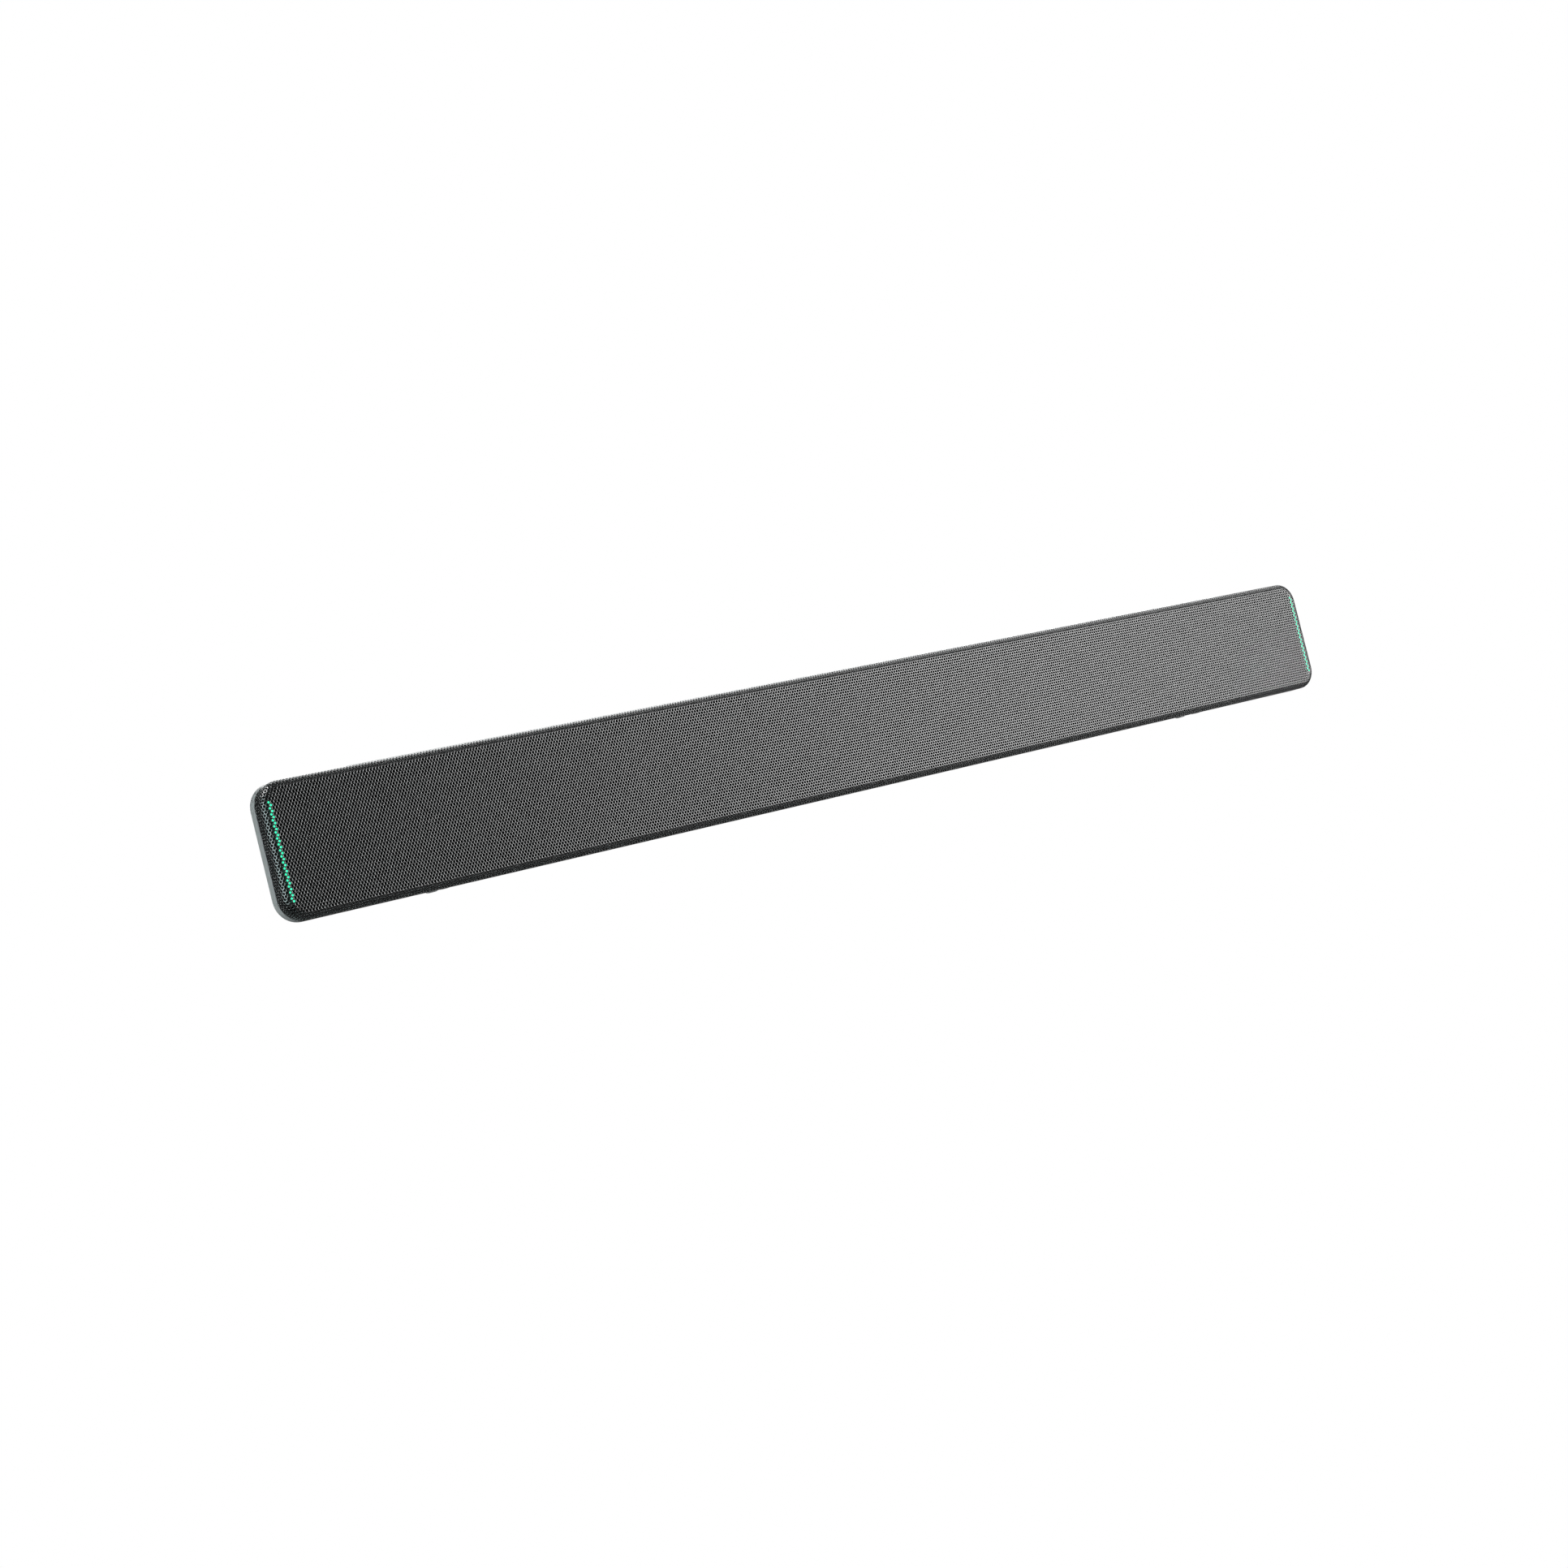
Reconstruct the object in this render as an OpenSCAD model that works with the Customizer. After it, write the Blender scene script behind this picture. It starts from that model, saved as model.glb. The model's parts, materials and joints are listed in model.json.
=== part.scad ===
// Conference soundbar: a long perforated bar with a light strip at each end,
// four full-range drivers in two sealed boxes, and its electronics in the middle.
// X runs along the bar, the front faces -Y, and Z points up.
// The origin is under the middle of the bar, on the plane that it stands on: the lower
// edge of the front section and the feet under the raised rear section.
// Depths are measured backwards from the front face of the grille.

/* [Body] */
// Width of the front face
body_w = 1077; // [1050:1:1200]
// Height of the front face
face_h = 101; // [100:1:106]
// Whole depth, grille to back
body_d = 90; // [90:1:100]
// Corner radius of the front face
corner_r = 18; // [17:0.5:20]
// Thickness of the housing walls
wall = 2.5; // [2.3:0.1:2.6]

/* [Grille] */
// Radius of the rolled edge round the grille
edge_r = 6; // [5:0.5:7]
// Thickness of the grille sheet
sheet_t = 0.8; // [0.8:0.1:1]
// Depth of the grille, face to rear edge
grille_d = 12; // [12:0.5:13]
// Shadow gap between grille and housing
shadow_gap = 0.9; // [0.4:0.1:1.2]

/* [Housing] */
// Depth at which the housing's step wall ends
band_end = 20.5; // [20.5:0.5:22]
// Distance from each end of the bar to the deep rear section
rear_inset = 63.5; // [60:0.5:66]
// How far the rear section stands above the front face
rise = 1.5; // [1.2:0.1:2]
// Radius round the rear edges
rear_edge_r = 10; // [9:0.5:11]
// Radius of each foot
foot_r = 5; // [4:0.5:6]

/* [Lights] */
// Distance of each light strip from its end of the bar
light_inset = 7.2; // [7.1:0.1:7.4]
// Width of a light strip
light_w = 2.2; // [2:0.1:2.5]
// Height of a light strip
light_h = 72.5; // [60:0.5:73]
// Light-emitting diodes behind each strip
led_count = 12; // [6:1:16]

/* [Drivers] */
// Distance from the middle of the bar to the inner drivers
driver_inner_x = 205; // [190:1:230]
// Distance from the middle of the bar to the outer drivers
driver_outer_x = 375; // [350:1:390]
// Outer radius of a driver's flange
flange_r = 40; // [38:0.5:41]
// Radius of a driver's cone
cone_r = 27; // [27:0.1:27.4]

/* [Mounting] */
// Spacing of the wall-bracket inserts along the bar
insert_dx = 600; // [500:10:700]
// Spacing of the wall-bracket inserts up the bar
insert_dz = 50; // [40:1:54]
// Thread radius of a wall-bracket insert
insert_bore_r = 2.1; // [1.6:0.1:2.5]

/* [Controls] */
// Radius of a button cap
button_r = 5.5; // [5:0.1:6]
// Spacing of the buttons
button_pitch = 30; // [25:1:32]

/* [Hidden] */
$fn = 64;

// Front face and heights
front_y = -body_d / 2;
face_mid = face_h / 2;
rear_w = body_w - 2 * rear_inset;
rear_mid = face_mid + rise;
rear_top = rear_mid + face_h / 2;
rear_bottom = rear_mid - face_h / 2;

// Depths of the layers
cloth_t = 0.8;
frame_front = 7;
baffle_front = grille_d;
baffle_back = baffle_front + 4;
step_front = band_end - wall;
inner_back = body_d - wall;
part_gap = 0.2;

// Light strips
light_x = body_w / 2 - light_inset;
guide_front = sheet_t + 0.3;
guide_back = 7.6;
led_board_front = 9.2;
led_board_back = led_board_front + 1;
led_board_w = 4.2;
led_board_h = light_h - 4;
led_size = 1.8;

// Drivers, whose depths are measured from the front of the flange
driver_x = [-driver_outer_x, -driver_inner_x, driver_inner_x, driver_outer_x];
flange_front = 8.5;
flange_t = 2.5;
gasket_t = baffle_front - flange_front - flange_t;
basket_r = 32.5;
driver_screw_r = 37.5;
frame_depth = 26;
former_r = 7.9;
winding_r = 9;
pole_r = 7.5;
plate_r = 22;
magnet_r = 25;

// Sealed boxes behind the drivers
box_x0 = 130;
box_x1 = 453;
box_h = 85;
box_mid = face_mid + 1;
box_back = 75;
box_wall = 2;

// Boards
board_t = 1.6;
main_w = 232;
board_h = 76;
main_front = 34;
main_post_x = 110;
side_board_x0 = 80;
side_board_x1 = 117;
rear_board_front = 62.4;
rear_board_back = rear_board_front + board_t;
port_board_w = 148;
port_board_h = 48;
post_r = 3;
pilot_r = 1.25;

// Recess with the sockets
port_mid = face_mid - 10;
tray_w = 124;
tray_h = 36;
tray_floor = 74;
tray_wall = 2;
socket_front = tray_floor + 3;

// Screws
rear_screw_x = [-458.5, -125, 125, 458.5];
rear_screw_dz = 33;
end_screw_x = body_w / 2 - 23.5;
end_screw_dz = 25;
boss_r = 3.8;
screw_r = 1.45;
screw_hole_r = 1.5;
clear_hole_r = 1.7;

// Buttons, switches and their board
button_depth = 52;
button_x = [for (i = [0 : 3]) (i - 1.5) * button_pitch];
button_gap = 0.3;
button_proud = 0.6;
button_board_top = rear_top - 13.5;
switch_h = 3.5;
stem_r = 1.6;

// Leads
lead_r = 1.2;
lead_z = 80;
lead_depth = 48;
lead_bend = 5;

insert_r = 3.5;
insert_len = 10;
foot_x = 400;
foot_depths = [29, 50];

// ---------- shared shapes ----------

// Moves its children to a depth behind the grille's face, at height z
module at(x, depth, z) {
    translate([x, front_y + depth, z]) children();
}

// A cylinder pointing backwards from the given depth
module rod(x, z, r, d0, d1) {
    at(x, d0, z) rotate([-90, 0, 0]) cylinder(r = r, h = d1 - d0);
}

// A block given by its x range, depth range and z range
module block(x0, x1, d0, d1, z0, z1) {
    at(x0, d0, z0) cube([x1 - x0, d1 - d0, z1 - z0]);
}

// A rectangle with round corners, centred on the origin
module rounded(w, h, r) {
    square([w - 2 * r, h], center = true);
    for (side = [0, 1]) mirror([side, 0]) {
        translate([w / 2 - r, r - h / 2]) square([r, h - 2 * r]);
        for (up = [0, 1]) mirror([0, up]) translate([w / 2 - r, h / 2 - r])
            intersection() {
                circle(r);
                square([r, r]);
            }
    }
}

// A flat plate with round corners, upright, between two depths
module plate(w, h, r, d0, d1, mid) {
    at(0, d0, mid) rotate([-90, 0, 0]) linear_extrude(d1 - d0) rounded(w, h, r);
}

// Sweeps its 2D child round a rounded rectangle. The child is drawn with x pointing
// outwards from the rectangle's edge and y pointing backwards from the grille's face.
module swept(w, h, r, mid) {
    at(0, 0, mid) for (side = [0, 1]) mirror([side, 0, 0]) {
        translate([w / 2, 0, 0]) linear_extrude(h - 2 * r, center = true) children();
        for (up = [0, 1]) mirror([0, 0, up])
            translate([w / 2 - r, 0, r - h / 2]) rotate([-90, 0, 0])
                rotate_extrude(angle = 90) translate([r, 0]) children();
    }
    at(0, 0, mid) for (up = [0, 1]) mirror([0, 0, up])
        translate([0, 0, h / 2]) rotate([0, -90, 0])
            linear_extrude(w - 2 * r, center = true) children();
}

// A ring following the front face's outline: inset is its outer edge's distance inside it
module face_ring(inset, thick, d0, d1) {
    inner = inset + thick;
    swept(body_w - 2 * inner, face_h - 2 * inner, corner_r - inner, face_mid)
        translate([0, d0]) square([thick, d1 - d0]);
}

// Section of a rolled edge: a quarter turn of sheet from the face to a straight skirt
module rolled_section(r, t, depth) {
    difference() {
        intersection() {
            translate([0, r]) circle(r);
            square([r, r]);
        }
        translate([0, r]) circle(r - t);
    }
    translate([r - t, r]) square([t, depth - r]);
}

// A screw with its head's seat at depth d and its shank pointing to the front
module screw_forward(x, z, d, head_r, head_h, len, shank_r) {
    rod(x, z, head_r, d, d + head_h);
    rod(x, z, shank_r, d - len, d);
}

// ---------- front ----------

module front_grille() {
    inner = 2 * edge_r;
    color("#1b1c1d") {
        plate(body_w - inner, face_h - inner, corner_r - edge_r, 0, sheet_t, face_mid);
        swept(body_w - inner, face_h - inner, corner_r - edge_r, face_mid)
            rolled_section(edge_r, sheet_t, grille_d);
    }
}

module acoustic_cloth() {
    cloth_w = body_w - 2 * (light_inset + light_w + 1);
    color("#0b0b0c")
        plate(cloth_w, face_h - 2 * edge_r, 5, sheet_t, sheet_t + cloth_t, face_mid);
}

module grille_frame() {
    bar_h = light_h + 3.5;
    color("#101011") {
        face_ring(sheet_t + part_gap, 4, frame_front, baffle_front);
        for (side = [0, 1]) mirror([side, 0, 0]) difference() {
            block(light_x - 4, light_x + 4, 3.5, led_board_front,
                face_mid - bar_h / 2, face_mid + bar_h / 2);
            block(light_x - light_w / 2 - 0.1, light_x + light_w / 2 + 0.1, 3, led_board_front + 1,
                face_mid - light_h / 2 - 0.1, face_mid + light_h / 2 + 0.1);
        }
    }
}

module front_baffle() {
    inset = wall + part_gap;
    color("#161617") difference() {
        union() {
            plate(body_w - 2 * inset, face_h - 2 * inset, corner_r - inset,
                baffle_front, baffle_back, face_mid);
            for (x = rear_screw_x, up = [-1, 1])
                rod(x, rear_mid + up * rear_screw_dz, boss_r, baffle_back, inner_back - 0.1);
            for (side = [-1, 1], up = [-1, 1]) {
                rod(side * end_screw_x, face_mid + up * end_screw_dz, boss_r,
                    baffle_back, step_front - 0.1);
                rod(side * main_post_x, face_mid + up * (board_h / 2 - 6), post_r,
                    baffle_back, main_front);
            }
        }
        for (x = driver_x) {
            rod(x, face_mid, basket_r + 0.5, baffle_front - 1, baffle_back + 1);
            for (a = [45 : 90 : 315])
                rod(x + driver_screw_r * cos(a), face_mid + driver_screw_r * sin(a),
                    screw_hole_r, baffle_front - 1, baffle_back + 1);
        }
        for (x = rear_screw_x, up = [-1, 1])
            rod(x, rear_mid + up * rear_screw_dz, screw_hole_r, 68, body_d);
        for (side = [-1, 1], up = [-1, 1]) {
            rod(side * end_screw_x, face_mid + up * end_screw_dz, screw_hole_r,
                baffle_front + 1, band_end);
            rod(side * main_post_x, face_mid + up * (board_h / 2 - 6), pilot_r, 24, main_front + 1);
            block(side * 28 - 2.2, side * 28 + 2.2, baffle_front - 1, baffle_back + 1, 7.8, 10.4);
        }
    }
}

// ---------- light strips ----------

module light_guide(side) {
    color("#28ffb9") at(side * light_x, guide_front, face_mid)
        rotate([-90, 0, 0]) linear_extrude(guide_back - guide_front)
            square([light_w, light_h], center = true);
}

module led_board(side) {
    color("#1d5c38") {
        block(side * light_x - led_board_w / 2, side * light_x + led_board_w / 2,
            led_board_front, led_board_back,
            face_mid - led_board_h / 2, face_mid + led_board_h / 2);
        for (i = [0 : led_count - 1])
            at(side * light_x - led_size / 2, guide_back,
                face_mid + (i - (led_count - 1) / 2) * led_board_h / led_count - led_size / 2)
                cube([led_size, led_board_front - guide_back, led_size]);
    }
}

// Flat cables along the front of the baffle, from the main board to the light strips
module led_cables() {
    film = 0.3;
    z0 = 8;
    z1 = 10.2;
    tab_z = 20;
    end_x = light_x - 5;
    color("#c9c6b8") for (side = [0, 1]) mirror([side, 0, 0]) {
        block(26, end_x, baffle_front - film, baffle_front, z0, z1);
        block(end_x - 2, end_x, baffle_front - film, baffle_front, z1, tab_z + film);
        block(end_x - 2, light_x + 1, led_board_back, baffle_front, tab_z, tab_z + film);
        block(26, 30, baffle_front, main_front - film, z0, z0 + film);
        block(26, 30, main_front - film, main_front, z0, tab_z);
    }
}

// ---------- drivers ----------

// Places a driver's parts: z points backwards from the front of its flange
module driver(i) {
    at(driver_x[i - 1], flange_front, face_mid) rotate([-90, 0, 0]) children();
}

module driver_basket(i) {
    color("#2a2b2d") driver(i) difference() {
        rotate_extrude() polygon([
            [29.5, 0.8], [35, 0.8], [35, 0], [flange_r, 0], [flange_r, flange_t],
            [basket_r, flange_t], [basket_r - 7, frame_depth - 2], [basket_r - 7, frame_depth + 2],
            [11, frame_depth + 2], [11, frame_depth], [basket_r - 9, frame_depth],
            [basket_r - 9, frame_depth - 3], [29.5, flange_t]
        ]);
        for (a = [45 : 90 : 315]) rotate([0, 0, a]) {
            translate([driver_screw_r, 0, -1]) cylinder(r = clear_hole_r, h = flange_t + 2);
        }
        for (a = [0 : 90 : 270]) rotate([0, 0, a])
            translate([18, -9, 6]) cube([20, 18, 14]);
    }
}

module driver_surround(i) {
    roll_mid = 29.6;
    roll_r = 2.1;
    skin = 0.6;
    color("#0e0e0f") driver(i) rotate_extrude() {
        difference() {
            intersection() {
                translate([roll_mid, 0.8]) circle(roll_r);
                translate([cone_r, 0.8 - roll_r]) square([2 * roll_r + 1, roll_r]);
            }
            translate([roll_mid, 0.8]) circle(roll_r - skin);
        }
        translate([roll_mid + roll_r - 0.3, 0.2]) square([2.9, 0.6]);
    }
}

module driver_cone(i) {
    cap_r = 12;
    color("#232325") driver(i) {
        rotate_extrude() polygon([
            [cone_r, 0.2], [cone_r, 1], [former_r + 1.3, 14.4], [former_r, 14.4],
            [former_r, 13.6], [cone_r - 1, 0.2]
        ]);
        intersection() {
            difference() {
                translate([0, 0, 18.9]) sphere(cap_r);
                translate([0, 0, 18.9]) sphere(cap_r - 0.5);
            }
            cylinder(r = 10, h = 12.8);
        }
    }
}

module voice_coil(i) {
    color("#b06a35") driver(i) rotate_extrude() {
        translate([former_r, 14.4]) square([0.6, 18]);
        translate([former_r + 0.6, 26.8]) square([winding_r - former_r - 0.6, 4.8]);
    }
}

module driver_magnet(i) {
    color("#3a3b3d") driver(i) rotate_extrude() {
        translate([winding_r + 0.4, 28]) square([plate_r - winding_r - 0.4, 4]);
        translate([13, 32]) square([magnet_r - 13, 10]);
        translate([0, 42]) square([plate_r, 4]);
        translate([0, 28]) square([pole_r, 14]);
    }
}

module driver_spiders() {
    color("#a8823c") for (i = [1 : 4]) driver(i) rotate_extrude() {
        translate([winding_r + 0.5, 25.2]) square([9.5, 0.4]);
        translate([19, 25.2]) square([4, 0.8]);
    }
}

module driver_gaskets() {
    color("#1a1a1a") for (i = [1 : 4]) driver(i) difference() {
        translate([0, 0, flange_t]) cylinder(r = flange_r - 0.5, h = gasket_t);
        translate([0, 0, flange_t - 1]) cylinder(r = basket_r + 0.5, h = gasket_t + 2);
        for (a = [45 : 90 : 315]) rotate([0, 0, a])
            translate([driver_screw_r, 0, flange_t - 1])
                cylinder(r = clear_hole_r, h = gasket_t + 2);
    }
}

module driver_screws() {
    color("#8d9094") for (i = [1 : 4]) driver(i)
        for (a = [45 : 90 : 315]) rotate([0, 0, a]) translate([driver_screw_r, 0, 0]) {
            translate([0, 0, -1.4]) cylinder(r = 2.4, h = 1.4);
            cylinder(r = screw_r, h = 7);
        }
}

// ---------- sealed boxes ----------

module speaker_box(side) {
    z0 = box_mid - box_h / 2;
    z1 = box_mid + box_h / 2;
    color("#1d1d1f") mirror([side < 0 ? 1 : 0, 0, 0]) difference() {
        block(box_x0, box_x1, baffle_back, box_back, z0, z1);
        block(box_x0 + box_wall, box_x1 - box_wall, baffle_back - 1, box_back - box_wall,
            z0 + box_wall, z1 - box_wall);
        at(box_x0 - 1, lead_depth, lead_z) rotate([0, 90, 0]) cylinder(r = lead_r + 0.3, h = 4);
    }
}

// ---------- rear housing ----------

module rear_outline(inset, d0, d1) {
    plate(rear_w - 2 * inset, face_h - 2 * inset, corner_r - inset, d0, d1, rear_mid);
}

module rear_walls() {
    inner = 2 * rear_edge_r;
    swept(rear_w - inner, face_h - inner, corner_r - rear_edge_r, rear_mid)
        translate([0, body_d]) mirror([0, 1])
            rolled_section(rear_edge_r, wall, body_d - band_end);
    rear_outline(rear_edge_r, inner_back, body_d);
}

module housing_posts() {
    for (side = [-1, 1], up = [-1, 1]) {
        rod(side * insert_dx / 2, rear_mid + up * insert_dz / 2, 6, box_back + 4, inner_back);
        rod(side * (port_board_w / 2 - 4), port_mid + up * (port_board_h / 2 - 4), post_r,
            rear_board_back, inner_back);
        for (x = [side_board_x0 + 4, side_board_x1 - 4])
            rod(side * x, face_mid + up * (board_h / 2 - 4), post_r, rear_board_back, inner_back);
        at(side * 56, button_depth, button_board_top)
            cylinder(r = 2.8, h = rear_top - wall - button_board_top);
    }
}

module housing_holes() {
    for (side = [-1, 1], up = [-1, 1]) {
        rod(side * insert_dx / 2, rear_mid + up * insert_dz / 2, insert_r + 0.02,
            body_d - insert_len, body_d + 1);
        rod(side * end_screw_x, face_mid + up * end_screw_dz, clear_hole_r,
            step_front - 1, band_end + 1);
        rod(side * (port_board_w / 2 - 4), port_mid + up * (port_board_h / 2 - 4), pilot_r,
            rear_board_back - 1, rear_board_back + 10);
        for (x = [side_board_x0 + 4, side_board_x1 - 4])
            rod(side * x, face_mid + up * (board_h / 2 - 4), pilot_r,
                rear_board_back - 1, rear_board_back + 10);
    }
    for (side = [-1, 1])
        at(side * 56, button_depth, button_board_top - 1) cylinder(r = pilot_r, h = 8);
    for (x = rear_screw_x, up = [-1, 1]) {
        rod(x, rear_mid + up * rear_screw_dz, clear_hole_r, inner_back - 1, body_d);
        rod(x, rear_mid + up * rear_screw_dz, 4.2, body_d - 1.4, body_d + 1);
    }
    for (x = button_x)
        at(x, button_depth, rear_top - wall - 1) cylinder(r = button_r + button_gap, h = wall + 2);
    block(-tray_w / 2 - 0.1, tray_w / 2 + 0.1, inner_back - 1, body_d + 1,
        port_mid - tray_h / 2 - 0.1, port_mid + tray_h / 2 + 0.1);
    for (i = [-8 : 8])
        block(i * 7 - 1.5, i * 7 + 1.5, inner_back - 1, body_d + 1, rear_top - 31, rear_top - 15);
}

module rear_housing() {
    color("#a3a5a6") difference() {
        union() {
            face_ring(0, wall, grille_d + shadow_gap, step_front);
            difference() {
                union() {
                    plate(body_w, face_h, corner_r, step_front, band_end, face_mid);
                    rear_outline(0, step_front, band_end);
                }
                rear_outline(wall, step_front - 1, band_end + 1);
            }
            rear_walls();
            housing_posts();
        }
        housing_holes();
    }
}

module wall_inserts() {
    color("#c2a35a") for (side = [-1, 1], up = [-1, 1]) difference() {
        rod(side * insert_dx / 2, rear_mid + up * insert_dz / 2, insert_r,
            body_d - insert_len, body_d);
        rod(side * insert_dx / 2, rear_mid + up * insert_dz / 2, insert_bore_r,
            body_d - insert_len - 1, body_d + 1);
    }
}

module rubber_feet() {
    color("#c9cccc") for (side = [-1, 1], d = foot_depths)
        at(side * foot_x, d, 0) cylinder(r = foot_r, h = rear_bottom);
}

// ---------- boards ----------

// An upright board with a hole at each corner
module board(x0, x1, z0, z1, front, corner) {
    color("#1f5b3a") difference() {
        block(x0, x1, front, front + board_t, z0, z1);
        for (x = [x0 + corner, x1 - corner], z = [z0 + corner, z1 - corner])
            rod(x, z, screw_hole_r, front - 1, front + board_t + 1);
    }
}

module main_board() {
    back = main_front + board_t;
    board(-main_w / 2, main_w / 2, face_mid - board_h / 2, face_mid + board_h / 2, main_front, 6);
    color("#232427") {
        block(-18, 18, back, back + 2.5, face_mid - 14, face_mid + 22);
        for (x = [-80, -55, 40, 62, 84])
            block(x - 8, x + 8, back, back + 1.4, face_mid - 10, face_mid + 6);
        for (x = [-90 : 20 : 90])
            block(x - 2, x + 2, back, back + 3, face_mid - 33, face_mid - 29);
    }
}

module amplifier_board() {
    board(-side_board_x1, -side_board_x0, face_mid - board_h / 2, face_mid + board_h / 2,
        rear_board_front, 4);
    color("#232427") {
        for (z = [-14, 8])
            block(-106, -90, rear_board_back, rear_board_back + 2, face_mid + z, face_mid + z + 16);
        for (z = [-32, 26])
            rod(-98, face_mid + z + 3, 4, rear_board_back, rear_board_back + 12);
    }
}

module heat_sink() {
    base = rear_board_back + 2;
    color("#b7babd") {
        block(-112, -84, base, base + 4, face_mid - 20, face_mid + 24);
        for (x = [-112 : 5.2 : -85])
            block(x, x + 2, base + 4, base + 18, face_mid - 20, face_mid + 24);
    }
}

module power_board() {
    board(side_board_x0, side_board_x1, face_mid - board_h / 2, face_mid + board_h / 2,
        rear_board_front, 4);
    color("#2b2c30") {
        block(88, 110, rear_board_back, rear_board_back + 15, face_mid - 8, face_mid + 18);
        for (z = [-28, -16]) rod(92, face_mid + z, 5, rear_board_back, rear_board_back + 18);
        rod(106, face_mid - 22, 4, rear_board_back, rear_board_back + 14);
    }
}

module port_board() {
    board(-port_board_w / 2, port_board_w / 2, port_mid - port_board_h / 2,
        port_mid + port_board_h / 2, rear_board_front, 4);
    color("#232427") {
        block(-10, 10, rear_board_front - 1.5, rear_board_front, port_mid + 4, port_mid + 20);
        block(36, 50, rear_board_front - 1.5, rear_board_front, port_mid - 8, port_mid + 6);
    }
}

module ribbon_cables() {
    color("#d0cec4") {
        block(-16, 16, main_front + board_t, rear_board_front, port_mid - 18, port_mid - 17.4);
        for (side = [0, 1]) mirror([side, 0, 0])
            block(port_board_w / 2, side_board_x0, rear_board_front, rear_board_back,
                port_mid - 8, port_mid + 8);
    }
}

// A lead that leaves the amplifier board forwards and turns along the bar
module speaker_lead(x0, x1) {
    turn = lead_depth + lead_bend;
    way = x1 > x0 ? 1 : -1;
    rod(x0, lead_z, lead_r, turn, rear_board_front);
    at(x0 + way * lead_bend, turn, lead_z) mirror([way > 0 ? 1 : 0, 0, 0])
        rotate([0, 0, -90]) rotate_extrude(angle = 90) translate([lead_bend, 0]) circle(lead_r);
    at(x0 + way * lead_bend, lead_depth, lead_z) rotate([0, way * 90, 0])
        cylinder(r = lead_r, h = abs(x1 - x0) - lead_bend);
    for (x = [x1, x1 - way * (driver_outer_x - driver_inner_x)])
        at(x - way * 2, lead_depth, face_mid + magnet_r + 0.5)
            cylinder(r = lead_r, h = lead_z - face_mid - magnet_r - 0.5);
}

module speaker_leads() {
    color("#8c2f2a") {
        speaker_lead(-104, -driver_outer_x);
        speaker_lead(-92, driver_outer_x);
    }
}

// ---------- sockets ----------

module port_panel() {
    windows = [[-48, 11.2, 11.2], [-24, 16.2, 13.7], [2, 15.4, 6], [26, 13.5, 6.2], [46, 8.2, 8.2]];
    lip = 3;
    color("#141415") difference() {
        union() {
            block(-tray_w / 2, tray_w / 2, tray_floor, body_d,
                port_mid - tray_h / 2, port_mid + tray_h / 2);
            block(-tray_w / 2 - lip, tray_w / 2 + lip, inner_back - 2, inner_back,
                port_mid - tray_h / 2 - lip, port_mid + tray_h / 2 + lip);
        }
        block(tray_wall - tray_w / 2, tray_w / 2 - tray_wall, tray_floor + tray_wall, body_d + 1,
            port_mid - tray_h / 2 + tray_wall, port_mid + tray_h / 2 - tray_wall);
        for (v = windows)
            block(v[0] - v[1] / 2, v[0] + v[1] / 2, tray_floor - 1, tray_floor + tray_wall + 1,
                port_mid - v[2] / 2, port_mid + v[2] / 2);
    }
}

// A socket's body, w wide and h high, standing on the port board
module socket_body(x, w, h) {
    block(x - w / 2, x + w / 2, rear_board_back, socket_front, port_mid - h / 2, port_mid + h / 2);
}

// A socket's cavity, open at the back
module socket_cavity(x, w, h, depth) {
    block(x - w / 2, x + w / 2, socket_front - depth, socket_front + 1,
        port_mid - h / 2, port_mid + h / 2);
}

module dc_socket() {
    color("#0d0d0e") difference() {
        socket_body(-48, 11, 11);
        rod(-48, port_mid, 3, socket_front - 9.5, socket_front + 1);
    }
    color("silver") rod(-48, port_mid, 1.05, socket_front - 9.5, socket_front - 1);
}

module ethernet_socket() {
    color("#8f9396") difference() {
        socket_body(-24, 16, 13.5);
        socket_cavity(-24, 11.8, 8.4, 12);
        block(-27.1, -20.9, socket_front - 12, socket_front + 1, port_mid + 4, port_mid + 5.6);
    }
}

module hdmi_socket() {
    color("#a7abae") difference() {
        socket_body(2, 15.2, 5.8);
        socket_cavity(2, 14.2, 4.8, 9);
    }
    color("#101011") block(-3.2, 7.2, socket_front - 9, socket_front - 1.2, port_mid - 0.5, port_mid + 0.5);
}

module usb_socket() {
    color("#a7abae") difference() {
        socket_body(26, 13.3, 6);
        socket_cavity(26, 12.5, 5.2, 9);
    }
    color("#101011") block(20.6, 31.4, socket_front - 9, socket_front - 1, port_mid + 0.4, port_mid + 2.2);
}

module audio_socket() {
    color("#121213") difference() {
        union() {
            socket_body(46, 8, 8);
            rod(46, port_mid, 3.2, socket_front, socket_front + 1);
        }
        rod(46, port_mid, 1.8, socket_front - 12, socket_front + 2);
    }
}

// ---------- buttons ----------

module button_board() {
    color("#1f5b3a") difference() {
        at(-62, button_depth - 8, button_board_top - board_t) cube([124, 16, board_t]);
        for (side = [-1, 1])
            at(side * 56, button_depth, button_board_top - 3) cylinder(r = screw_hole_r, h = 5);
    }
}

module button_switches() {
    color("#2a2a2c") for (x = button_x) difference() {
        at(x - 3, button_depth - 3, button_board_top) cube([6, 6, switch_h]);
        at(x, button_depth, button_board_top + 1) cylinder(r = stem_r + 0.3, h = switch_h);
    }
}

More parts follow.
